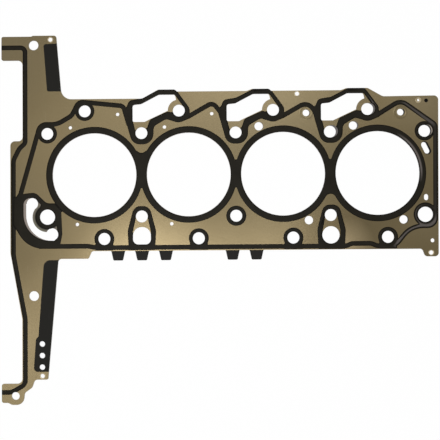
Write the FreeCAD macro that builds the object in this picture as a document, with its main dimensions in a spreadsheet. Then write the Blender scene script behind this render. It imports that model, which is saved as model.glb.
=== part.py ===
import FreeCAD, Part
import math
import os
from types import SimpleNamespace
import Sketcher

# A multi-layer steel cylinder head gasket for a four-cylinder engine, with a timing case
# extension at its left end. The frame stands on cylinder 1: the origin is the centre of its
# bore on the underside, +X runs along the row of cylinders, +Y to the inlet side, +Z up.
# From below: a lower sheet, a thicker carrier sheet, an upper sheet, then the black sealing
# beads on top. Hollow rivets hold the sheets together.

doc = FreeCAD.newDocument("cylinder_head_gasket")

SIZES = [
    # cylinders and the holes that repeat with them
    ("pitch", 98.0),
    ("bore", 87.0),
    ("bolt_row", 43.35),
    ("bolt_hole", 12.4),
    ("dowel_hole", 15.8),
    ("passage_row", 66.6),
    ("passage_shift", 9.95),
    ("passage_hole", 12.5),
    ("side_row", 66.45),
    ("side_shift", 10.0),
    ("side_hole", 12.5),
    ("jet_row", 49.55),
    ("jet_shift", 25.0),
    ("crest_jet_row", 63.1),
    ("crest_jet_shift", 24.3),
    ("lower_jet_row", 51.2),
    ("lower_jet_shift", 18.0),
    ("water_row", 48.5),
    ("water_shift", 26.3),
    ("jet_hole", 3.6),
    ("water_hole", 8.7),
    ("crest_water_hole", 6.9),
    # edges, measured from the axes of cylinder 1 and from the last cylinder
    ("left_margin", 87.5),
    ("end_margin", 63.0),
    ("end_lean", 0.8),
    ("top_edge", 79.3),
    ("land_edge", 86.45),
    ("crown_edge", 88.6),
    ("bottom_edge", 79.0),
    ("flange_overhang", 9.15),
    ("upper_arm_step", 12.8),
    ("upper_arm_top", 145.2),
    ("upper_flange_depth", 25.0),
    ("lower_arm_step", 12.2),
    ("lower_arm_foot", 235.0),
    ("lower_flange_depth", 19.6),
    ("case_shoulder", 35.9),
    ("case_slope_top", 80.5),
    ("case_slope_foot", 148.8),
    # holes of the two arms
    ("case_hole", 10.1),
    ("foot_hole", 8.1),
    ("mark_hole", 5.7),
    ("mark_pitch", 11.95),
    ("drain_hole", 4.1),
    ("sight_hole", 3.3),
    # tabs of the lower sheet
    ("tab_width", 14.4),
    ("tab_drop", 9.9),
    ("tab_taper", 2.2),
    ("tab_pitch", 24.8),
    # sheet gauges and the printed beads
    ("lower_gauge", 0.25),
    ("carrier_gauge", 0.7),
    ("upper_gauge", 0.25),
    ("bead_height", 0.25),
    ("print_height", 0.08),
    ("print_drift", 0.3),
    ("carrier_step", 0.2),
    ("passage_land", 5.2),
    ("crescent_land", 7.7),
    ("crescent_step", 3.1),
    ("bore_band", 6.75),
    ("seal_band", 4.9),
    ("timing_band", 4.8),
    ("bolt_ring", 3.9),
    ("side_ring", 4.1),
    ("dowel_ring", 4.4),
    # hollow rivets
    ("rivet_bore", 4.4),
    ("rivet_wall", 0.3),
    ("rivet_flange", 0.6),
    ("rivet_head", 0.15),
    ("rivet_clearance", 0.05),
]

sheet = doc.addObject("Spreadsheet::Sheet", "sizes")
for row, (name, value) in enumerate(SIZES, start=1):
    sheet.set(f"A{row}", name)
    sheet.set(f"B{row}", str(value))
    sheet.setAlias(f"B{row}", name)
doc.recompute()
s = SimpleNamespace(**{name: float(sheet.get(name)) for name, _ in SIZES})

CYLINDERS = 4
stack = s.lower_gauge + s.carrier_gauge + s.upper_gauge


UP = FreeCAD.Vector(0, 0, 1)
REACH = 2


def vector(x, y):
    return FreeCAD.Vector(x, y, 0)


# Outlines: corners given as x, y and the radius that rounds them

def rounded(corners):
    """Lines and tangent arcs round a closed list of corners."""
    count = len(corners)
    points = [vector(x, y) for x, y, _ in corners]
    starts, ends, arcs = [], [], []
    for i, (_, _, radius) in enumerate(corners):
        here = points[i]
        back = (points[i - 1] - here).normalize()
        ahead = (points[(i + 1) % count] - here).normalize()
        half_angle = back.getAngle(ahead) / 2
        reach = radius / math.tan(half_angle) if radius else 0
        starts.append(here + back * reach)
        ends.append(here + ahead * reach)
        if radius:
            middle_way = (back + ahead).normalize()
            depth = radius / math.sin(half_angle) - radius
            arcs.append(Part.Arc(starts[i], here + middle_way * depth, ends[i]))
        else:
            arcs.append(None)
    pieces = []
    for i in range(count):
        if arcs[i]:
            pieces.append(arcs[i])
        following = starts[(i + 1) % count]
        if ends[i].distanceToPoint(following) > 1e-6:
            pieces.append(Part.LineSegment(ends[i], following))
    return pieces


def area(corners):
    return Part.Face(Part.Wire(Part.__sortEdges__([piece.toShape() for piece in rounded(corners)])))


def about(x, y, corners):
    """Corners measured from the centre that they belong to."""
    return [(x + dx, y + dy, radius) for dx, dy, radius in corners]


def disc(x, y, radius):
    return Part.Face(Part.Wire(Part.makeCircle(radius, vector(x, y))))


def slot(x, y, radius, dx, dy):
    """A round hole drawn out from (x, y) by (dx, dy)."""
    length = math.hypot(dx, dy)
    ux, uy = dx / length, dy / length
    sides = [
        (x - radius * (ux + uy), y - radius * (uy - ux), radius),
        (x + dx + radius * (ux - uy), y + dy + radius * (uy + ux), radius),
        (x + dx + radius * (ux + uy), y + dy + radius * (uy - ux), radius),
        (x - radius * (ux - uy), y - radius * (uy + ux), radius),
    ]
    return area(sides)


def slab(face):
    """A flat region drawn out well above and below, to cut or trim with."""
    return face.translated(-REACH * UP).extrude(2 * REACH * UP)


def region(added, removed):
    """One flat region from those added, less those removed, worked out on prisms."""
    block = added[0].extrude(UP)
    if len(added) > 1:
        block = block.fuse([face.extrude(UP) for face in added[1:]])
    block = block.cut([slab(face) for face in removed]).removeSplitter()
    top = max(block.Faces, key=lambda face: face.CenterOfMass.z)
    return top.translated(-UP)


def band(corners, width):
    """A strip of one width along an open route of corners."""
    half = width / 2
    left, right = [], []
    last = len(corners) - 1
    for i, (x, y, radius) in enumerate(corners):
        here = vector(x, y)
        way_in = (here - vector(*corners[i - 1][:2])).normalize() if i else None
        way_out = (vector(*corners[i + 1][:2]) - here).normalize() if i < last else None
        way_in = way_in or way_out
        way_out = way_out or way_in
        along = (way_in + way_out).normalize()
        stretch = half / along.dot(way_out)
        side = vector(-along.y, along.x) * stretch
        turn = math.copysign(1, way_in.cross(way_out).z) if radius else 0
        left.append((here.x + side.x, here.y + side.y, max(radius - turn * half, 0)))
        right.append((here.x - side.x, here.y - side.y, max(radius + turn * half, 0)))
    return area(left + right[::-1])


# Where things stand

def cylinder_x(k):
    return k * s.pitch


def bolt_x(k):
    """Head bolt columns stand half a pitch either side of each cylinder."""
    return (k - 0.5) * s.pitch


right_edge = cylinder_x(CYLINDERS - 1) + s.end_margin
last_bolt = bolt_x(CYLINDERS)
arm_foot = -s.lower_arm_foot
arm_top = s.upper_arm_top
left_edge = -s.left_margin
flange_edge = left_edge - s.flange_overhang
upper_left = left_edge + s.upper_arm_step
lower_left = left_edge + s.lower_arm_step
foot_stud = flange_edge + 14.35
passage_gap = s.pitch / 2 - s.passage_shift


def end_edge(y):
    """The far edge leans a little: outwards on the pockets' side, inwards on the other."""
    return right_edge + s.end_lean * y / s.bottom_edge


def case_outline(tabs):
    """The sheet's edge, clockwise from the top of the timing case flange."""
    corners = [
        (flange_edge, arm_top, 2),
        (-65.5, arm_top, 0),
        (-64, arm_top + 0.9, 0),
        (-39.5, arm_top + 0.9, 2.5),
        (-33.9, s.top_edge, 11),
    ]
    for k in range(1, CYLINDERS):
        x = bolt_x(k)
        start = (x + 0.8, s.top_edge, 8) if k == 1 else (x + 11.6, s.land_edge, 4)
        corners += [start, (x + 17.6, s.crown_edge, 5)]
        if k < CYLINDERS - 1:
            corners += [(x + passage_gap - 3.85, s.crown_edge, 4), (x + passage_gap - 1.85, s.land_edge, 0)]
        else:
            corners += [(x + passage_gap + 0.55, s.crown_edge, 4),
                        (x + passage_gap + 16.15, s.top_edge + 0.4, 8)]
    corners += [
        (end_edge(s.top_edge), s.top_edge + 0.9, 4.5),
        (end_edge(-s.bottom_edge - 7.9), -s.bottom_edge - 7.9, 3.8),
        (right_edge - 14.8, -s.bottom_edge - 7.9, 4),
        (right_edge - 17.6, -s.bottom_edge, 3.5),
    ]
    corners += tabs
    corners += [
        (-3, -s.bottom_edge, 3),
        (-6.4, -s.bottom_edge - 7.85, 2),
        (-37.7, -s.bottom_edge - 7.85, 3.5),
        (-48.7, arm_foot + 23.7, 1.8),
        (foot_stud + 19.9, arm_foot + 23.7, 4),
        (foot_stud + 17.1, arm_foot + 15.5, 5),
        (foot_stud + 9.3, arm_foot + 9.9, 4),
        (foot_stud + 8.1, arm_foot - 2.1, 7.5),
        (foot_stud - 3.7, arm_foot - 2.1, 5),
        (foot_stud - 7.7, arm_foot, 5),
        (flange_edge, arm_foot, 2.2),
        (flange_edge, arm_foot + s.lower_flange_depth, 2.2),
        (lower_left, arm_foot + s.lower_flange_depth, 5.5),
        (lower_left, -s.case_slope_foot, 20),
        (left_edge, -s.case_slope_top, 20),
        (left_edge, s.case_shoulder, 4.8),
        (upper_left, s.case_shoulder, 4.4),
        (upper_left, arm_top - s.upper_flange_depth, 5),
        (flange_edge, arm_top - s.upper_flange_depth, 2.2),
    ]
    return corners


def tab_corners():
    """Tapered tabs along the lower edge: three under lobe 1 and two before bolt column 3."""
    middle = bolt_x(1)
    second = bolt_x(2)
    centres = [middle - s.tab_pitch, middle, middle + s.tab_pitch, second - 4, second - 4 + s.tab_pitch]
    root, tip = s.tab_width / 2, s.tab_width / 2 - s.tab_taper
    corners = []
    for x in sorted(centres, reverse=True):
        corners += [
            (x + root, -s.bottom_edge, 1.2),
            (x + tip, -s.bottom_edge - s.tab_drop, 1.4),
            (x - tip, -s.bottom_edge - s.tab_drop, 1.4),
            (x - root, -s.bottom_edge, 1.2),
        ]
    return corners


# Round holes: how many pitches along, plus which shift, in which row, of which diameter

head_bolts = [(k - 0.5, "", "bolt_row", "bolt_hole") for k in range(CYLINDERS + 1)]
head_bolts += [(k - 0.5, "", "-bolt_row", "bolt_hole") for k in range(1, CYLINDERS)]
dowels = [(k - 0.5, "", "-bolt_row", "dowel_hole") for k in (0, CYLINDERS)]
passages = [(k, "-passage_shift", "passage_row", "passage_hole") for k in range(CYLINDERS)]
side_bolts = [(k, "side_shift", "-side_row", "side_hole") for k in range(CYLINDERS)]
jets = [(k, "-jet_shift", "jet_row", "jet_hole") for k in (0, 1)]
jets += [(k, "crest_jet_shift", "crest_jet_row", "jet_hole") for k in (0, 1)]
jets += [(k, "-lower_jet_shift", "-lower_jet_row", "jet_hole") for k in (0, 1)]
water = [(k, "-jet_shift", "jet_row", "water_hole") for k in (2, 3)]
water += [(k, "water_shift", "-water_row", "water_hole") for k in (2, 3)]
crest_water = [(k, "crest_jet_shift", "crest_jet_row", "crest_water_hole") for k in (2, 3)]
bores = [(k, "", "", "bore") for k in range(CYLINDERS)]
pattern_holes = head_bolts + dowels + passages + side_bolts + jets + water + crest_water


def signed(alias):
    """The value of an alias that may carry a minus sign; an empty alias is zero."""
    if not alias:
        return 0
    return -getattr(s, alias[1:]) if alias.startswith("-") else getattr(s, alias)


def hole_centre(item):
    return item[0] * s.pitch + signed(item[1]), signed(item[2])


case_holes = [
    (upper_left + 11.6, arm_top - 9.2, s.case_hole),
    (lower_left + 12.2, -s.case_slope_foot + 23.75, s.case_hole),
    (foot_stud, arm_foot + 7, s.foot_hole),
    (right_edge - 6.95, -s.bottom_edge + 8.6, s.drain_hole),
]
case_holes += [(-54.7, arm_foot + 60.4 - k * s.mark_pitch, s.mark_hole) for k in range(3)]
sight_hole = (right_edge - 11.8, s.top_edge - 4.35, s.sight_hole)
rivet_places = [
    (-45.6, arm_top - 3.3),
    (cylinder_x(2) + 15.2, s.land_edge - 3.2),
    (right_edge - 19.9, s.top_edge - 3.8),
    (right_edge - 8.5, -s.bottom_edge - 4),
    (-54.45, arm_foot + 27.35),
]

# Openings that aren't round

def pocket(k):
    """A coolant pocket between two cylinders, cut away round its passage hole."""
    x = bolt_x(k)
    corners = [
        (x - 9.1, 55, 1.8),
        (x - 9.1, s.top_edge - 6.5, 2.5),
        (x - 0.3, s.top_edge - 5.7, 6),
        (x + 18.3, s.crown_edge - 5.3, 5),
        (x + passage_gap - 4.05, s.crown_edge - 5.3, 2.2),
        (x + passage_gap - 2.25, 76, 0),
        (x + passage_gap - 9.05, 66.6, 0),
        (x + passage_gap - 11.55, 66.4, 0),
        (x + 9.3, 57.9, 8),
        (x + 3.4, 55, 0),
    ]
    passage_x = cylinder_x(k) - s.passage_shift
    return region([area(corners)], [disc(passage_x, s.passage_row, s.passage_hole / 2 + s.passage_land)])


def lobe_opening(k):
    """The wide return opening under a lower bolt: squared off in column 1, round in column 3."""
    x = bolt_x(k)
    if k == 1:
        return area([
            (x - 9.3, -54.4, 8.8),
            (x + 9.3, -54.4, 8.8),
            (x + 9.3, -72.4, 5.5),
            (x - 9.3, -72.4, 5.5),
        ])
    return disc(x, -63.9, 9)


dowel = (bolt_x(0), -s.bolt_row)


def crescent_seat():
    """The land that the bead round the left dowel lies on."""
    return disc(*dowel, s.dowel_hole / 2 + s.crescent_land - s.crescent_step)


def crescent():
    """The curved slot round the left dowel, ending in two round lobes."""
    x, y = dowel
    channel = area(about(x, y, [
        (-22.4, 13.95, 0),
        (-11.5, 13.95, 0),
        (-11.5, 3.35, 0),
        (3, -11.55, 0),
        (7.3, -11.55, 0),
        (7.3, -24.5, 0),
        (-22.4, -24.5, 26.6),
    ]))
    around = disc(x, y, s.dowel_hole / 2 + s.crescent_land)
    lobes = [disc(x - 15.85, y + 13.9, 6), disc(x + 4.75, y - 18.05, 6.4)]
    return region([region([channel], [around])] + lobes, [crescent_seat()])


def wide_crescent():
    """The upper sheet's slot stands back on both sides, so that the carrier shows as a step."""
    back = area(about(*dowel, [
        (-24.9, 19.9, 7),
        (-16, 19.9, 0),
        (-11, 16.35, 0),
        (-6.9, 13.35, 0),
        (-8.6, 5.35, 0),
        (4, -11.05, 0),
        (9.6, -9.05, 0),
        (10.4, -16.65, 0),
        (4.8, -24.5, 0),
        (-24.9, -24.5, 27.4),
    ]))
    return region([crescent(), back], [crescent_seat()])


side_slot = (right_edge - 14.8, 29, 2.7, 3.2, -6.6)
oval = (right_edge - 13, -24.6, 2.25, 0, -1.9)

# At the far end the upper sheet's holes are long, so that the carrier shows at their right
long_holes = [
    (bolt_x(3), s.bolt_row, s.bolt_hole / 2, 2.2, 0.6),
    (bolt_x(4), s.bolt_row, s.bolt_hole / 2, 2.2, 0.6),
    (cylinder_x(3) - s.passage_shift, s.passage_row, s.passage_hole / 2, 1.9, 0.3),
    (cylinder_x(3) - s.jet_shift, s.jet_row, s.water_hole / 2, 1.2, 0),
    (cylinder_x(2) + s.crest_jet_shift, s.crest_jet_row, s.crest_water_hole / 2, 0.6, 0),
    (cylinder_x(3) + s.crest_jet_shift, s.crest_jet_row, s.crest_water_hole / 2, 1.0, 0.2),
    (cylinder_x(3) + s.water_shift, -s.water_row, s.water_hole / 2, 0.7, 0),
    (cylinder_x(2) - s.jet_shift, s.jet_row, s.water_hole / 2, 0.6, 0),
]

shared_voids = [pocket(k) for k in range(1, CYLINDERS)]
shared_voids += [lobe_opening(k) for k in (1, 3)]
shared_voids += [slot(*oval)]
wide_slot = slot(side_slot[0] + 0.9, side_slot[1], side_slot[2] + 0.9, side_slot[3], side_slot[4])
upper_voids = shared_voids + [wide_crescent(), wide_slot]
upper_voids += [slot(*item) for item in long_holes]
under_voids = shared_voids + [crescent(), slot(*side_slot)]


# Sheets: stamped bodies with a sketched outline, sketched openings and round holes

def plane_of(body):
    return next(f for f in body.Origin.OriginFeatures if f.Role == "XY_Plane")


def new_sketch(body, name):
    sketch = body.newObject("Sketcher::SketchObject", name)
    sketch.AttachmentSupport = [(plane_of(body), "")]
    sketch.MapMode = "FlatFace"
    return sketch


def edge_geometry(face):
    """The lines and arcs round a flat region, as sketch geometry."""
    pieces = []
    for edge in face.Faces[0].OuterWire.OrderedEdges:
        first, last = edge.FirstParameter, edge.LastParameter
        start, end = edge.valueAt(first), edge.valueAt(last)
        if isinstance(edge.Curve, Part.Line):
            pieces.append(Part.LineSegment(start, end))
        elif edge.isClosed():
            pieces.append(Part.Circle(edge.Curve.Center, UP, edge.Curve.Radius))
        else:
            pieces.append(Part.Arc(start, edge.valueAt((first + last) / 2), end))
    return pieces


def add_cut(body, sketch, name):
    cut = body.newObject("PartDesign::Pocket", name)
    cut.Profile = sketch
    cut.Type = 1
    cut.Reversed = True
    return cut


def stamped_sheet(label, outline, voids, holes, loose_holes, gauge, below):
    body = doc.addObject("PartDesign::Body", label)
    body.Label = label
    blank = new_sketch(body, f"{label}_outline")
    blank.addGeometry(rounded(outline), False)
    pad = body.newObject("PartDesign::Pad", f"{label}_blank")
    pad.Profile = blank
    pad.setExpression("Length", f"sizes.{gauge}")
    openings = new_sketch(body, f"{label}_openings")
    for face in voids:
        openings.addGeometry(edge_geometry(face), False)
    add_cut(body, openings, f"{label}_openings_cut")
    rounds = new_sketch(body, f"{label}_holes")
    for item, setback in holes:
        x, y = hole_centre(item)
        radius = signed(item[3]) / 2 + setback
        index = rounds.addGeometry(Part.Circle(vector(x, y), UP, radius), False)
        constraint = rounds.addConstraint(Sketcher.Constraint("Radius", index, radius))
        extra = " + sizes.carrier_step" if setback else ""
        rounds.setExpression(f"Constraints[{constraint}]", f"sizes.{item[3]} / 2{extra}")
    for x, y, diameter in loose_holes:
        rounds.addGeometry(Part.Circle(vector(x, y), UP, diameter / 2), False)
    add_cut(body, rounds, f"{label}_holes_cut")
    body.setExpression("Placement.Base.z", " + ".join(f"sizes.{item}" for item in below) or "0")
    return body


rivet_shank = s.rivet_bore + 2 * s.rivet_wall
shank_holes = [(x, y, rivet_shank + 2 * s.rivet_clearance) for x, y in rivet_places]
flange_width = rivet_shank + 2 * s.rivet_flange
flange_holes = [(x, y, flange_width + 2 * s.rivet_clearance) for x, y in rivet_places]

slipped = [(item[0], item[1]) for item in long_holes]


def is_long(item):
    centre = hole_centre(item)
    return any(math.dist(centre, place) < 0.01 for place in slipped)


top_holes = [(item, 0) for item in pattern_holes if not is_long(item)]
top_holes += [(item, s.carrier_step) for item in bores]
under_holes = [(item, 0) for item in pattern_holes + bores]
plain_outline = case_outline([])
upper_sheet = stamped_sheet("upper_sheet", plain_outline, upper_voids, top_holes,
                            case_holes + shank_holes + [sight_hole], "upper_gauge",
                            ["lower_gauge", "carrier_gauge"])
carrier_sheet = stamped_sheet("carrier_sheet", plain_outline, under_voids, under_holes,
                              case_holes + shank_holes + [sight_hole], "carrier_gauge", ["lower_gauge"])
lower_sheet = stamped_sheet("lower_sheet", case_outline(tab_corners()), under_voids, under_holes,
                            case_holes + flange_holes, "lower_gauge", [])

# The upper sheet with all its openings, which the beads are trimmed to
trim_holes = [disc(*hole_centre(item), signed(item[3]) / 2 + setback) for item, setback in top_holes]
trim_holes += [disc(x, y, diameter / 2) for x, y, diameter in case_holes]
upper_slab = slab(area(plain_outline)).cut([slab(face) for face in upper_voids + trim_holes])


# Sealing beads

def web_fill(k, low, low_radius, high, high_radius):
    """Bead material between two bores, with rounded notches above and below."""
    x = bolt_x(k)
    block = area([(x - 7, low - 2, 0), (x - 7, high + 2, 0), (x + 7, high + 2, 0), (x + 7, low - 2, 0)])
    notches = [disc(x, low - low_radius, low_radius), disc(x, high + high_radius, high_radius)]
    return block.cut(notches)


bore_rings = [disc(cylinder_x(k), 0, s.bore / 2 + s.bore_band) for k in range(CYLINDERS)]
bore_webs = [
    web_fill(1, -14, 3, 22.8, 5.6),
    web_fill(2, -14, 3, 15, 2.8),
    web_fill(3, -21.3, 5.6, 14.8, 2.8),
]
bore_voids = [disc(cylinder_x(k), 0, s.bore / 2 + s.carrier_step) for k in range(CYLINDERS)]


def print_x(k):
    """The print runs slightly long, so its columns drift towards the far end."""
    return bolt_x(k) + (k - 1) * s.print_drift


def pocket_frame(k):
    """The bead round a pocket and its two bolt holes, less the bare land inside it."""
    x = print_x(k)
    passage = x + passage_gap
    outer = area([
        (x - 9.3, 31.6, 10),
        (x - 19.3, 67.3, 0),
        (x - 15.2, 71.2, 0),
        (x - 12.4, s.top_edge - 1.8, 5),
        (x + 0.6, s.top_edge + 0.3, 6),
        (x + 18.9, s.crown_edge + 0.3, 5),
        (passage - 3.15, s.crown_edge + 0.3, 4),
        (passage + 11.25, 69.2, 8),
        (passage + 11.75, 58.4, 0),
        (passage, 53.6, 11),
        (passage - 13.35, 57.8, 6),
        (x + 12.9, 50.2, 6),
        (x + 12.1, 31.6, 11),
    ])
    inner = area([
        (x - 9.1, 57, 0),
        (x - 9.1, s.top_edge - 6.5, 2.5),
        (x - 0.3, s.top_edge - 5.7, 6),
        (x + 18.3, s.crown_edge - 5.3, 5),
        (passage - 4.35, s.crown_edge - 5.3, 2.2),
        (passage + 4.75, 70.6, 0),
        (passage, 66.6, 0),
        (passage - 7.85, 64.9, 0),
        (passage - 11.75, 65.7, 5),
        (x + 9, 57.5, 6),
        (x + 6, 49, 0),
        (x, s.bolt_row, 0),
        (x - 6.4, 46.6, 0),
    ])
    return outer, inner


def lobe_frame(k):
    x = print_x(k)
    crown = -s.bolt_row + 10.8
    foot = -s.bottom_edge + 0.6
    outer = area([
        (x - 8, crown, 8.6),
        (x + 8, crown, 8.6),
        (x + 14.8, crown - 25.8, 14),
        (x + 13.6, foot, 0),
        (x - 13.6, foot, 0),
        (x - 14.8, crown - 25.8, 14),
    ])
    inner = area([
        (x - 6, -44, 0),
        (x + 6, -44, 0),
        (x + 9.2, -59, 0),
        (x + 8.8, -66, 0),
        (x - 8.8, -66, 0),
        (x - 9.2, -59, 0),
    ])
    return outer, inner


def crescent_field():
    """The broad bead field round the crescent slot and the left dowel."""
    edge = left_edge - dowel[0]
    return area(about(*dowel, [
        (edge + 3.5, 21.05, 0),
        (edge + 5.8, 21.05, 0),
        (edge + 8.5, 24.85, 0),
        (edge + 14.2, 24.35, 0),
        (-12.6, 25.8, 9),
        (-0.9, 14.35, 8),
        (7.4, 14.3, 0),
        (12.5, 16.35, 0),
        (18.5, 7.35, 0),
        (14.4, 4.75, 0),
        (15.4, -17.65, 12),
        (12.4, -32.85, 0),
        (-20.2, -32.85, 29),
        (edge + 3, -8.05, 0),
    ]))


def left_route():
    """Up from the crescent slot, over the first bolt and passage, to the first pocket."""
    passage = cylinder_x(0) - s.passage_shift
    return [
        (left_edge + 7.6, dowel[1] + 13.35, 0),
        (bolt_x(0) - 7.2, s.bolt_row + 9.9, 8),
        (bolt_x(0) + 10.3, s.bolt_row + 9.8, 20),
        (passage - 13.4, s.passage_row - 4.5, 12),
        (passage - 6.15, s.passage_row + 10, 7),
        (bolt_x(1) - 18.7, s.passage_row + 5.2, 5),
        (bolt_x(1) - 13, s.passage_row - 14.6, 0),
    ]


def crest_route(k):
    """From one passage hole over a crest to the next pocket."""
    start, end = print_x(k) + s.pitch / 2, print_x(k + 1)
    return [(start - 0.4, 60, 0), (end - 23.9, 74.7, 6 if k == 1 else 9.5), (end - 13.9, 62, 0)]


def end_route():
    x = bolt_x(CYLINDERS - 1)
    shoulder = s.bolt_row + 6.45
    turn = s.bolt_row + 11.9
    low = -s.bottom_edge + 3
    return [
        (x + s.pitch / 2 - 0.4, 60, 0),
        (x + s.pitch / 2 + 24.8, 75.5, 11),
        (end_edge(shoulder) - 2.95, shoulder, 6),
        (end_edge(-turn) - 2.95, -turn, 8.5),
        (last_bolt - 15.3, -turn, 26),
        (cylinder_x(3) + 17.5, low + 0.2, 13),
        (cylinder_x(3) - 1.5, low + 0.5, 8),
        (cylinder_x(3) - 7.5, low + 3, 8),
        (bolt_x(3) + 21.5, low + 3, 8),
        (bolt_x(3) + 15.5, low + 0.5, 8),
        (2.5, low + 0.5, 5),
        (-7.5, low + 2.2, 5),
        (-58, low + 2.2, 0),
    ]


def perimeter_regions():
    """The areas that make up the perimeter bead, and the bare lands inside them."""
    wholes = [crescent_field(), band(left_route(), s.seal_band)]
    bare = []
    for k in range(1, CYLINDERS):
        outer, inner = pocket_frame(k)
        wholes.append(outer)
        bare.append(inner)
    for k in range(1, CYLINDERS - 1):
        wholes.append(band(crest_route(k), s.seal_band))
    wholes.append(band(end_route(), s.seal_band))
    for k in (1, 3):
        outer, inner = lobe_frame(k)
        wholes.append(outer)
        bare.append(inner)
    side_outer = s.side_hole / 2 + s.side_ring
    for item in side_bolts:
        x, y = hole_centre(item)
        wholes.append(disc(x, y, side_outer))
        foot = side_outer - 1.1
        wholes.append(area([(x - foot, y - 4.6, 0), (x + foot, y - 4.6, 0),
                            (x + foot, -s.bottom_edge + 0.6, 0), (x - foot, -s.bottom_edge + 0.6, 0)]))
    bolt_outer = s.bolt_hole / 2 + s.bolt_ring
    wholes += [disc(bolt_x(0), s.bolt_row, bolt_outer), disc(last_bolt, s.bolt_row, bolt_outer)]
    wholes.append(disc(last_bolt, -s.bolt_row, s.dowel_hole / 2 + s.dowel_ring))
    wholes.append(disc(cylinder_x(0) - s.passage_shift, s.passage_row, bolt_outer))
    return wholes, bare


def timing_route():
    mid = upper_left + s.timing_band / 2 + 0.3
    side = left_edge + s.timing_band / 2 + 0.8
    low = lower_left + s.timing_band / 2 + 0.7
    foot = arm_foot + 10.8
    return [
        (flange_edge - 3, arm_top - 11.6, 0),
        (mid, arm_top - 11.6, 4.8),
        (mid, s.case_shoulder - 2.1, 5),
        ((mid + side) / 2, s.case_shoulder - 7.8, 14),
        (side, s.case_shoulder - 19.9, 12),
        (side, -s.case_slope_top - 2.7, 25),
        (low, -s.case_slope_foot + 0.2, 20),
        (low, foot + 8.2, 8),
        (foot_stud - 4, foot, 14),
        (flange_edge - 3, foot, 0),
    ]


def upper_print():
    return area([
        (upper_left + 21.9, arm_top - 8, 2.5),
        (upper_left + 44.7, arm_top - 7.2, 0),
        (upper_left + 44.7, s.top_edge + 8.3, 0),
        (upper_left + 25.6, s.top_edge + 8.3, 2),
    ])


def lower_print():
    foot = arm_foot + 31.7
    return area([
        (lower_left + 22.6, -s.bottom_edge - 9, 7),
        (lower_left + 45.3, -s.bottom_edge - 9, 0),
        (lower_left + 45.3, foot, 0),
        (lower_left + 11.7, foot, 4),
        (lower_left + 14, foot + 33.6, 1.5),
        (lower_left + 16.7, foot + 36.6, 1.5),
    ])


def raised(faces, height):
    """Flat regions raised into one solid."""
    prisms = [face.extrude(height * UP) for face in faces]
    return prisms[0].fuse(prisms[1:]) if len(prisms) > 1 else prisms[0]


def bead(label, solid):
    item = doc.addObject("Part::Feature", label)
    item.Label = label
    item.Shape = solid.removeSplitter()
    item.Placement = FreeCAD.Placement(stack * UP, FreeCAD.Rotation())
    return item


bore_solid = raised(bore_rings + bore_webs, s.bead_height).cut([slab(face) for face in bore_voids])
wholes, bare = perimeter_regions()
perimeter_solid = raised(wholes, s.bead_height).cut([slab(face) for face in bare])
perimeter_solid = perimeter_solid.common(upper_slab).cut([slab(face) for face in bore_rings])
timing_solid = raised([band(timing_route(), s.timing_band)], s.bead_height).common(upper_slab)
timing_solid = timing_solid.cut(raised(wholes, s.bead_height))
ring = disc(bolt_x(2), -s.bolt_row, s.bolt_hole / 2 + s.bolt_ring + 0.3)
beads = [
    bead("bore_bead", bore_solid),
    bead("perimeter_bead", perimeter_solid),
    bead("timing_case_bead", timing_solid),
    bead("middle_bolt_bead", raised([ring], s.bead_height).common(upper_slab)),
    bead("upper_arm_print", raised([upper_print()], s.print_height).common(upper_slab)),
    bead("lower_arm_print", raised([lower_print()], s.print_height).common(upper_slab)),
]


# Hollow rivets: a tube with a flange at each end, the lower one sunk in the lower sheet

def cylinder(name, radius, height, x, y, z):
    item = doc.addObject("Part::Cylinder", name)
    item.setExpression("Radius", radius)
    item.setExpression("Height", height)
    item.Placement = FreeCAD.Placement(FreeCAD.Vector(x, y, 0), FreeCAD.Rotation())
    item.setExpression("Placement.Base.z", z)
    return item


TUBE = "sizes.rivet_bore / 2 + sizes.rivet_wall"
FLANGE = TUBE + " + sizes.rivet_flange"
STACK = "sizes.lower_gauge + sizes.carrier_gauge + sizes.upper_gauge"


def rivet(number, x, y):
    tube = cylinder(f"rivet_tube_{number}", TUBE, STACK + " + sizes.rivet_head", x, y, "0")
    head = cylinder(f"rivet_head_{number}", FLANGE, "sizes.rivet_head", x, y, STACK)
    foot = cylinder(f"rivet_foot_{number}", FLANGE, "sizes.lower_gauge", x, y, "0")
    body = doc.addObject("Part::MultiFuse", f"rivet_body_{number}")
    body.Shapes = [tube, head, foot]
    bore = cylinder(f"rivet_bore_{number}", "sizes.rivet_bore / 2", STACK + " + sizes.rivet_head", x, y, "0")
    finished = doc.addObject("Part::Cut", f"rivet_{number}")
    finished.Base = body
    finished.Tool = bore
    return finished


rivets = doc.addObject("Part::Compound", "rivets")
rivets.Label = "rivets"
rivets.Links = [rivet(number, x, y) for number, (x, y) in enumerate(rivet_places, start=1)]

doc.recompute()

nodes = [lower_sheet, carrier_sheet, upper_sheet] + beads + [rivets]
for item in doc.Objects:
    if {"Invalid", "Error"} & set(item.State):
        raise RuntimeError(f"{item.Name} failed: {item.State}")
os.makedirs("parts", exist_ok=True)
for node in nodes:
    shape = node.Shape
    if shape.isNull() or not shape.isValid():
        raise RuntimeError(f"{node.Label} has no valid shape")
    shape.exportStep(f"parts/{node.Label}.step")
    print(node.Label, len(shape.Solids), round(shape.Volume, 1))
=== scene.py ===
import math

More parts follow.
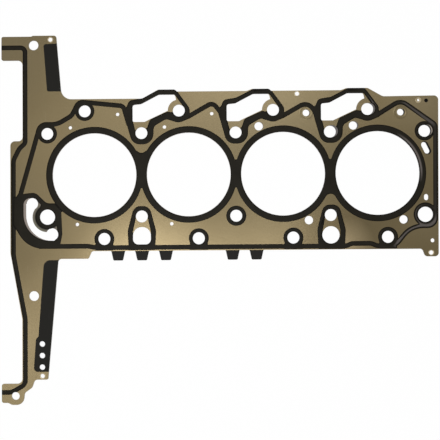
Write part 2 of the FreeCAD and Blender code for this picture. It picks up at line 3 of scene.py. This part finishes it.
import bmesh
import bpy
from mathutils import Euler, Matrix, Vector


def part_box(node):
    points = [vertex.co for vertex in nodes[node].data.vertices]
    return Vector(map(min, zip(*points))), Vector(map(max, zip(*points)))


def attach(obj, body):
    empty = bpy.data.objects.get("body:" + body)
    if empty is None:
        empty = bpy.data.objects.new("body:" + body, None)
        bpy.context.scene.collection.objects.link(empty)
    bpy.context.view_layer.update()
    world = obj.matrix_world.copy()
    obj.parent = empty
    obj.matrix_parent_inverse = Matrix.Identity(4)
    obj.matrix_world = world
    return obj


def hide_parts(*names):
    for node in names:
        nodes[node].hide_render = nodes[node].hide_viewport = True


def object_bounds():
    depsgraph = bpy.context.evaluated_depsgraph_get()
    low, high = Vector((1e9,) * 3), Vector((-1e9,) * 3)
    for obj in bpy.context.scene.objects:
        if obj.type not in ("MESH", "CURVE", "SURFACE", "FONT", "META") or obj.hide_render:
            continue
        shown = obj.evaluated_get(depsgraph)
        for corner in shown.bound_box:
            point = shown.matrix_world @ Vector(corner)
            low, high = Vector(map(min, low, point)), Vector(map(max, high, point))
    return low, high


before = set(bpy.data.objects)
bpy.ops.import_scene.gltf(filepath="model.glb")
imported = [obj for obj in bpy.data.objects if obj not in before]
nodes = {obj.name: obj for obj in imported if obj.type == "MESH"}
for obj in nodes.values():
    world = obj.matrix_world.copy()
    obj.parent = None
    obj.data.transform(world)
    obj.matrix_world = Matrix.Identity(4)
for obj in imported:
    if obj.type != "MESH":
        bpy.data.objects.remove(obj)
cad_low, cad_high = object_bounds()


# Lower sheet. The bottom layer of spring steel, dipped in a black release coating and stamped
# with tapered tabs along one long edge. The rivets hold it under the other layers, so only
# the tabs, the underside and thin edges inside the openings stay in view.

class Value:
    """A shader value used in plain arithmetic; each step adds one Math node."""

    def __init__(self, shader, socket):
        self.shader = shader
        self.socket = socket

    def step(self, operation, *values):
        return self.shader.node("ShaderNodeMath", {"operation": operation}, dict(enumerate(values)))

    def __add__(self, other):
        return self.step("ADD", self, other)

    def __radd__(self, other):
        return self.step("ADD", other, self)

    def __sub__(self, other):
        return self.step("SUBTRACT", self, other)

    def __rsub__(self, other):
        return self.step("SUBTRACT", other, self)

    def __mul__(self, other):
        return self.step("MULTIPLY", self, other)

    def __rmul__(self, other):
        return self.step("MULTIPLY", other, self)

    def __truediv__(self, other):
        return self.step("DIVIDE", self, other)

    def __rtruediv__(self, other):
        return self.step("DIVIDE", other, self)


class Finish:
    """A node material round one principled surface."""

    def __init__(self, name):
        self.material = bpy.data.materials.new(name)
        self.material.use_nodes = True
        self.tree = self.material.node_tree
        self.tree.nodes.clear()
        self.surface = self.tree.nodes.new("ShaderNodeBsdfPrincipled")
        output = self.tree.nodes.new("ShaderNodeOutputMaterial")
        self.tree.links.new(self.surface.outputs["BSDF"], output.inputs["Surface"])
        self.place = self.node("ShaderNodeTexCoord", {}, {}, "Object")

    def node(self, kind, settings, inputs, output=0):
        made = self.tree.nodes.new(kind)
        for name, value in settings.items():
            setattr(made, name, value)
        for name, value in inputs.items():
            self.feed(made.inputs[name], value)
        return Value(self, made.outputs[output])

    def feed(self, target, value):
        if isinstance(value, Value):
            self.tree.links.new(value.socket, target)
        else:
            target.default_value = value

    def set(self, **inputs):
        for name, value in inputs.items():
            self.feed(self.surface.inputs[name.replace("_", " ")], value)

    def stretched(self, x, y, turn=0.0):
        return self.node("ShaderNodeMapping", {}, {
            "Vector": self.place, "Scale": (x, y, 1.0), "Rotation": (0, 0, math.radians(turn)),
        })

    def noise(self, scale, detail=2.0, vector=None):
        return self.node("ShaderNodeTexNoise", {}, {
            "Vector": vector or self.place, "Scale": scale, "Detail": detail,
        })

    def ramp(self, value, low, high):
        return self.node("ShaderNodeMapRange", {}, {"Value": value, "From Min": low, "From Max": high})

    def blend(self, factor, first, second):
        return self.node("ShaderNodeMix", {"data_type": "RGBA"}, {0: factor, 6: first, 7: second}, 2)

    def bump(self, height):
        grain_depth = 0.00001
        return self.node("ShaderNodeBump", {}, {"Height": height, "Distance": grain_depth})

    def axis(self, letter):
        parts = self.node("ShaderNodeSeparateXYZ", {}, {"Vector": self.place})
        return Value(self, parts.socket.node.outputs[letter])

    def off(self, x, y):
        """How far a point of the sheet is from a place given in metres."""
        dx = self.axis("X") - x
        dy = self.axis("Y") - y
        total = dx * dx + dy * dy
        return total.step("SQRT", total)

    def patch(self, x, y, radius, edge):
        """A round patch of the sheet that fades out over its edge."""
        return 1.0 - self.ramp(self.off(x, y), radius - edge, radius)

    def ring(self, x, y, radius, width):
        """A soft ring round a place of the sheet, 1 on its crest."""
        miss = self.off(x, y) - radius
        return 1.0 - self.ramp(miss.step("ABSOLUTE", miss), 0.0, width)

    def wear(self, place):
        node = nodes[place] if isinstance(place, str) else place
        node.data.materials.clear()
        node.data.materials.append(self.material)


coating = Finish("black_coating")
mottle = coating.noise(60.0, 4.0)
grain = coating.noise(2600.0, 2.0)
scuff = coating.noise(900.0, 3.0, coating.stretched(1.0, 0.05, 24))
worn = coating.ramp(scuff, 0.62, 0.74)
black = coating.blend(mottle, (0.0125, 0.012, 0.011, 1), (0.0205, 0.0195, 0.018, 1))
black = coating.blend(worn * 0.5, black, (0.05, 0.05, 0.048, 1))
sight_hole = (0.3452, 0.075)
# The floor of the sight hole is painted nearly black: painted shade down in the hole.
hole_floor_shade = coating.patch(*sight_hole, 0.0035, 0.001)
coating.set(
    Base_Color=coating.blend(hole_floor_shade, black, (0.001, 0.001, 0.001, 1)),
    Roughness=0.42 + mottle * 0.16 + worn * 0.1,
    Specular_IOR_Level=0.14,
    Normal=coating.bump(grain + scuff * 0.5),
)
coating.wear("lower_sheet")


# Carrier sheet. The thick middle layer of bare cold-rolled steel that sets the gasket's
# height. It shows as a narrow step inside the bores, the crescent slot and the long holes of
# the far end, where a thin brown oil film and heat tint lie on the rolled surface. Its colour
# is painted nearly black round the dowel seat and over the far end as shade, with a pale arc
# round the far bolt hole as a painted highlight.

steel = Finish("carrier_steel")
rolling = steel.noise(1500.0, 3.0, steel.stretched(0.03, 1.0))
film = steel.noise(45.0, 3.0)
tint_and_shade = steel.blend(steel.ramp(film, 0.35, 0.65), (0.17, 0.14, 0.105, 1), (0.125, 0.125, 0.075, 1))
tint_and_shade = steel.blend(rolling * 0.6, tint_and_shade, (0.2, 0.175, 0.145, 1))
dowel = (-0.049, -0.0434)
dowel_gap = steel.off(*dowel)
# Nearly black round the dowel seat, out to about 13 mm: painted shade on the step beside the ring.
tint_and_shade = steel.blend(steel.ramp(dowel_gap, 0.0125, 0.0142), (0.008, 0.006, 0.004, 1), tint_and_shade)
tint_and_shade = steel.blend(steel.ramp(dowel_gap, 0.0185, 0.0215) * 0.7, tint_and_shade, (0.34, 0.285, 0.255, 1))
tint_and_shade = steel.blend(steel.ramp(steel.axis("X"), 0.16, 0.22), tint_and_shade, (0.17, 0.155, 0.15, 1))
# Nearly black over the far end: painted shade on the steps inside its holes.
tint_and_shade = steel.blend(steel.ramp(steel.axis("X"), 0.30, 0.315), tint_and_shade, (0.007, 0.006, 0.005, 1))
far_bolt = (0.343, 0.0434)
# A pale arc round the far bolt hole: a painted highlight, the glint on the bead's inner slope.
painted_highlight_arc = steel.ring(*far_bolt, 0.0082, 0.0014)
steel.set(
    Base_Color=steel.blend(painted_highlight_arc, tint_and_shade, (0.62, 0.54, 0.46, 1)),
    Metallic=0.45,
    Roughness=0.3 + rolling * 0.2,
    Normal=steel.bump(rolling),
)
steel.wear("carrier_sheet")


# Upper sheet. The top layer of spring steel with a baked olive coating of thin elastomer,
# satin with a metallic undertone. The coat is thinner and paler in a few patches, which also
# paint in part of the lamps' sheen; a darker patch at the far end and a dark rim round the
# sight hole are painted shade, and a bright patch low on the far end is a painted reflection.
# An embossed ring stands round each of the two crest water holes.

olive = Finish("olive_coating")
cloud = olive.noise(14.0, 3.0)
flow = olive.noise(55.0, 4.0, olive.stretched(1.0, 0.45, 12))
speck = olive.noise(3800.0, 1.0)
hairline = olive.noise(1400.0, 2.0, olive.stretched(1.0, 0.04, 70))
scratch = olive.ramp(hairline, 0.68, 0.78)
near_crest_hole = (0.2203, 0.0631)
far_crest_hole = (0.3183, 0.0631)
rings = olive.ring(*near_crest_hole, 0.0062, 0.0012) + olive.ring(*far_crest_hole, 0.0062, 0.0012)
base = olive.blend(olive.ramp(cloud, 0.3, 0.7), (0.204, 0.1535, 0.0715, 1), (0.223, 0.170, 0.0815, 1))
base = olive.blend(olive.ramp(speck, 0.35, 0.75) * 0.3, base, (0.26, 0.212, 0.122, 1))
base = olive.blend(scratch * 0.25, base, (0.34, 0.29, 0.19, 1))
# A darker patch at the far end: painted shade.
painted_shade_patch = olive.patch(0.282, -0.053, 0.04, 0.04)
base = olive.blend(painted_shade_patch * 0.35, base, (0.12, 0.092, 0.045, 1))
# Paler patches where the coat is thinner, which also paint in part of the sheen of the lamps.
for x, y, radius, share in [
    (-0.093, 0.134, 0.07, 0.4),
    (0.348, 0.075, 0.05, 0.45),
    (0.18, 0.045, 0.12, 0.42),
    (-0.09, -0.03, 0.06, 0.3),
    (0.345, -0.05, 0.03, 0.3),
]:
    base = olive.blend(olive.patch(x, y, radius, radius) * share, base, (0.35, 0.285, 0.165, 1))
# A dark rim round the sight hole: painted shade that widens the dark of the hole.
base = olive.blend(olive.patch(*sight_hole, 0.0022, 0.0004), base, (0.008, 0.006, 0.003, 1))
# A bright patch low on the far end, cut off at the frame's edge: a painted reflection of a lamp.
painted_reflection_patch = olive.patch(0.2625, -0.073, 0.028, 0.028) * olive.ramp(olive.axis("X"), 0.255, 0.257)
base = olive.blend(painted_reflection_patch * 0.75, base, (0.5, 0.39, 0.22, 1))
olive.set(
    Base_Color=base,
    Metallic=0.57,
    Roughness=0.2 + flow * 0.05 + speck * 0.03,
    Specular_IOR_Level=0.45,
    Normal=olive.bump(rings * 14.0 + flow * 1.5 + speck * 0.35),
)
olive.wear("upper_sheet")


# Bore bead. A black elastomer layer screen-printed round and between the bores, over the
# full bead that is pressed into the sheet. Its edges lie thin on the sheet, and its middle
# stands up as a rounded ridge. The rubber colour is painted darker low on the flanks as shade,
# and paler along the crests of the far end and inside the far bore's ring as painted highlights.

def bead_top(mesh, base_height):
    """The faces of the flat top of a bead that is printed on the sheet."""
    return [f for f in mesh.faces if f.normal.z > 0.9 and f.calc_center_median().z > base_height]


def crowned(name, node, steps):
    """The printed bead with its flat top pressed into a ridge.

    The edge of the top drops first, then each step goes inwards and rises.
    """
    edge_drop = 0.00015
    mesh = bmesh.new()
    mesh.from_mesh(nodes[node].data)
    bmesh.ops.remove_doubles(mesh, verts=mesh.verts[:], dist=1e-7)
    low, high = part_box(node)
    top = bead_top(mesh, (low.z + high.z) / 2)
    verts = {v for f in top for v in f.verts}
    bmesh.ops.translate(mesh, verts=list(verts), vec=(0, 0, -edge_drop))
    for inwards, rise in steps:
        bmesh.ops.inset_region(mesh, faces=top, thickness=inwards, depth=0.0, use_boundary=True)
        verts = {v for f in top for v in f.verts}
        bmesh.ops.translate(mesh, verts=list(verts), vec=(0, 0, rise))
    bmesh.ops.recalc_face_normals(mesh, faces=mesh.faces[:])
    data = bpy.data.meshes.new(name)
    mesh.to_mesh(data)
    mesh.free()
    data.shade_smooth()
    made = bpy.data.objects.new(name, data)
    bpy.context.scene.collection.objects.link(made)
    made.data.set_sharp_from_angle(angle=math.radians(35))
    return made


rubber = Finish("bead_rubber")
cast = rubber.noise(70.0, 3.0)
screen = rubber.noise(2400.0, 2.0)
smear = rubber.noise(300.0, 3.0, rubber.stretched(1.0, 0.3, 40))
bead_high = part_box("perimeter_bead")[1].z
# A pale line along the bead crests towards the far end, kept off the rings round the far bolt, dowel and
# return hole: a painted highlight.
lit = 0.12 * rubber.ramp(rubber.axis("X"), 0.27, 0.35)
for x, y, radius, share in [
    (0.2894, 0.0738, 0.01, 0.7),
    (0.3387, 0.0634, 0.023, 0.65),
    (0.3325, -0.0602, 0.029, 1.0),
]:
    lit = lit.step("MAXIMUM", lit, rubber.patch(x, y, radius, 0.006) * share)
crest = rubber.ramp(rubber.axis("Z"), bead_high - 0.000002, bead_high) * lit
far_dowel = (0.343, -0.0434)
far_return = (0.304, -0.0664)
for x, y in [far_bolt, far_dowel, far_return]:
    crest = crest * rubber.ramp(rubber.off(x, y), 0.0095, 0.0108)
# A pale line just inside the ring round the far bore, on its right side: a painted highlight.
far_bore = (0.294, 0.0)
rim_highlight = rubber.ring(*far_bore, 0.0454, 0.0015) * rubber.ramp(rubber.axis("X"), 0.314, 0.326)
rim_highlight = rim_highlight * rubber.ramp(rubber.axis("Y"), -0.01, 0.004)
ink = rubber.blend(rubber.ramp(cast, 0.3, 0.7), (0.0165, 0.0143, 0.0093, 1), (0.0225, 0.0195, 0.0135, 1))
# The bead is painted darker low on its flanks and lighter up the ridge: painted shade.
ridge = rubber.ramp(rubber.axis("Z"), bead_high - 0.00014, bead_high - 0.00003)
ink = rubber.blend(ridge, (0.006, 0.005, 0.003, 1), ink)
ink = rubber.blend(rim_highlight, ink, (0.21, 0.18, 0.165, 1))
rubber.set(
    Base_Color=rubber.blend(crest * 0.8, ink, (0.165, 0.145, 0.135, 1)),
    Roughness=0.34 + smear * 0.14,
    Specular_IOR_Level=0.08,
    Normal=rubber.bump(screen * 0.8 + smear * 0.6),
)

bore_bead = crowned("bore_bead_print", "bore_bead", [
    (0.0004, 0.00001), (0.0009, 0.00013), (0.0009, 0.0),
])
rubber.wear(bore_bead)
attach(bore_bead, "root")
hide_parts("bore_bead")


# Perimeter bead. The same black print round the pockets, the bolt holes, the dowels and the
# whole edge, in one connected run, over the bead pressed into the sheet.

seal_steps = [(0.0005, 0.00001), (0.0007, 0.00013), (0.0006, 0.00001)]
perimeter_bead = crowned("perimeter_bead_print", "perimeter_bead", seal_steps)
rubber.wear(perimeter_bead)
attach(perimeter_bead, "root")
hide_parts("perimeter_bead")


# Timing case bead. A black run of the same print that seals the timing case joint, from the
# upper flange down the left edge to the foot of the lower arm.

timing_bead = crowned("timing_case_bead_print", "timing_case_bead", seal_steps)
rubber.wear(timing_bead)
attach(timing_bead, "root")
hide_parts("timing_case_bead")


# Bolt bead. The one printed ring that stands alone, round the middle bolt hole of the
# lower row.

bolt_bead = crowned("bolt_bead_print", "middle_bolt_bead", [
    (0.0005, 0.00001), (0.0006, 0.00013), (0.0004, 0.00001),
])
rubber.wear(bolt_bead)
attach(bolt_bead, "root")
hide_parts("middle_bolt_bead")


# Upper arm print. A flat field of thin black print on the upper arm of the timing case end.
# It is rolled on through a screen, so it is even, matt and a little greyer than the beads.

print_black = Finish("print_black")
screen_grain = print_black.noise(1800.0, 2.0)
patches = print_black.noise(35.0, 3.0)
rub = print_black.noise(700.0, 3.0, print_black.stretched(1.0, 0.06, 84))
rubbed = print_black.ramp(rub, 0.64, 0.76)
field = print_black.blend(patches, (0.0155, 0.0145, 0.012, 1), (0.021, 0.02, 0.0165, 1))
print_black.set(
    Base_Color=print_black.blend(rubbed * 0.4, field, (0.04, 0.038, 0.033, 1)),
    Roughness=0.5 + patches * 0.1,
    Specular_IOR_Level=0.12,
    Normal=print_black.bump(screen_grain),
)
print_black.wear("upper_arm_print")


# Lower arm print. The same thin black print in a longer field down the lower arm. Three
# gauge holes are stamped through it, and it is left bare.

print_black.wear("lower_arm_print")


# Rivets. Five hollow eyelets of brassed steel that hold the layers together. Each is a thin
# tube whose upper end is rolled outwards into a round lip, while its foot lies flush in the
# lower sheet. One of them is pressed nearly shut.

brassed = Finish("rivet_steel")
turned = brassed.noise(1200.0, 2.0)
tarnish = brassed.noise(400.0, 3.0)
brass = brassed.blend(brassed.ramp(tarnish, 0.3, 0.7), (0.6, 0.51, 0.34, 1), (0.46, 0.37, 0.22, 1))
brassed.set(
    Base_Color=brass,
    Metallic=0.8,
    Roughness=0.32 + turned * 0.15,
    Normal=brassed.bump(turned),
)

rivet_places = [
    (-0.0456, 0.1419, 0.0022),
    (0.2112, 0.08325, 0.0022),
    (0.3371, 0.0755, 0.0012),
    (0.3485, -0.083, 0.0022),
    (-0.05445, -0.20765, 0.0022),
]
rivet_low, rivet_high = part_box("rivets")
sheet_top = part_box("upper_sheet")[1].z
sheet_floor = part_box("lower_sheet")[1].z
eyelets = bmesh.new()
for x, y, bore in rivet_places:
    section = [
        (bore, rivet_low.z + 0.00004),
        (bore + 0.00006, rivet_low.z),
        (0.0031, rivet_low.z),
        (0.0031, sheet_floor),
        (0.0025, sheet_floor),
        (0.0025, sheet_top),
        (0.00305, sheet_top),
        (0.0031, sheet_top + 0.00006),
        (0.00295, rivet_high.z - 0.00002),
        (0.0027, rivet_high.z),
        (0.0024, rivet_high.z - 0.00002),
        (bore, sheet_top + 0.00005),
    ]
    ring = [eyelets.verts.new((x + radius, y, z)) for radius, z in section]
    edges = [eyelets.edges.new((ring[i - 1], ring[i])) for i in range(len(ring))]
    bmesh.ops.spin(eyelets, geom=ring + edges, cent=(x, y, 0), axis=(0, 0, 1),
                   angle=2 * math.pi, steps=40, use_merge=True)
bmesh.ops.remove_doubles(eyelets, verts=eyelets.verts[:], dist=1e-7)
bmesh.ops.recalc_face_normals(eyelets, faces=eyelets.faces[:])
eyelet_mesh = bpy.data.meshes.new("hollow_rivets")
eyelets.to_mesh(eyelet_mesh)
eyelets.free()
eyelet_mesh.shade_smooth()
rivets = bpy.data.objects.new("hollow_rivets", eyelet_mesh)
bpy.context.scene.collection.objects.link(rivets)
eyelet_mesh.set_sharp_from_angle(angle=math.radians(40))
brassed.wear(rivets)
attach(rivets, "root")
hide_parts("rivets")


# The floor that the gasket lies on, a plain pale board that the camera sees as white.

floor_mesh = bmesh.new()
bmesh.ops.create_grid(floor_mesh, x_segments=1, y_segments=1, size=1.6)
bmesh.ops.translate(floor_mesh, verts=floor_mesh.verts[:], vec=(0.13, -0.06, cad_low.z - 0.00005))
floor_data = bpy.data.meshes.new("studio_floor")
floor_mesh.to_mesh(floor_data)
floor_mesh.free()
studio_floor = bpy.data.objects.new("studio_floor", floor_data)
bpy.context.scene.collection.objects.link(studio_floor)
board = Finish("pale_board")
board.set(Base_Color=(0.9, 0.9, 0.9, 1), Roughness=0.9, Specular_IOR_Level=0.0)
path = board.node("ShaderNodeLightPath", {}, {}, "Is Camera Ray")
rays = path.socket.node.outputs
seen = path.step("MAXIMUM", path, Value(board, rays["Is Glossy Ray"]))
seen = seen.step("MAXIMUM", seen, Value(board, rays["Is Transmission Ray"]))
glow = board.node("ShaderNodeEmission", {}, {"Color": (1, 1, 1, 1), "Strength": 1.02})
matt = Value(board, board.surface.outputs[0])
shown = board.node("ShaderNodeMixShader", {}, {0: seen * 0.94, 1: matt, 2: glow})
board.feed(board.tree.nodes["Material Output"].inputs["Surface"], shown)
board.wear(studio_floor)


# Light: an even, low dome, and six soft lamps overhead. Two of them and a long tube mirror in
# the coating beside the second bore; the other three lift the arms and the pockets' side.

world = bpy.data.worlds.new("studio")
bpy.context.scene.world = world
world.use_nodes = True
world_tree = world.node_tree
dome = world_tree.nodes["Background"]
dome.inputs["Color"].default_value = (1, 1, 1, 1)
dome.inputs["Strength"].default_value = 0.44
backdrop = world_tree.nodes.new("ShaderNodeBackground")
backdrop.inputs["Color"].default_value = (1, 1, 1, 1)
world_path = world_tree.nodes.new("ShaderNodeLightPath")
world_mix = world_tree.nodes.new("ShaderNodeMixShader")
world_tree.links.new(world_path.outputs["Is Camera Ray"], world_mix.inputs[0])
world_tree.links.new(dome.outputs[0], world_mix.inputs[1])
world_tree.links.new(backdrop.outputs[0], world_mix.inputs[2])
world_tree.links.new(world_mix.outputs[0], world_tree.nodes["World Output"].inputs["Surface"])


def soft_lamp(name, place, aim, width, depth, power):
    light = bpy.data.lights.new(name, "AREA")
    light.shape = "RECTANGLE"
    light.size = width
    light.size_y = depth
    light.energy = power
    lamp = bpy.data.objects.new(name, light)
    lamp.location = place
    lamp.rotation_euler = (Vector(aim) - Vector(place)).to_track_quat("-Z", "Y").to_euler()
    bpy.context.scene.collection.objects.link(lamp)


soft_lamp("key_lamp", (-0.146, -0.188, 1.2), (0.03, -0.11, 0), 0.16, 0.06, 0.73)
soft_lamp("key_halo", (-0.011, -0.175, 1.2), (0.08, -0.1, 0), 0.3, 0.1, 0.81)
soft_lamp("long_tube", (0.179, -0.167, 1.2), (0.15, -0.1, 0), 0.4, 0.1, 0.76)
soft_lamp("arm_fill", (-0.445, -0.411, 1.2), (-0.08, -0.19, 0), 0.3, 0.4, 0.88)
soft_lamp("upper_fill", (-0.011, 0.295, 1.2), (0.08, 0.07, 0), 0.9, 0.3, 0.88)
soft_lamp("crest_fill", (0.179, 0.376, 1.2), (0.15, 0.1, 0), 1.0, 0.16, 0.56)


# Camera: straight above, as in the photograph, with the lens tilted a degree.

lens = bpy.data.cameras.new("camera")
lens.sensor_width = 36.0
focal_px = 674.0
frame_px = 440.0
lens.lens = focal_px / frame_px * lens.sensor_width
lens.clip_start = 0.01
camera = bpy.data.objects.new("camera", lens)
camera.location = (0.1329, -0.0611, 0.7)
camera.rotation_euler = Euler([math.radians(a) for a in (1.099, 0.238, -0.432)], "XYZ")
bpy.context.scene.collection.objects.link(camera)
bpy.context.scene.camera = camera
bpy.context.scene.view_settings.view_transform = "Standard"
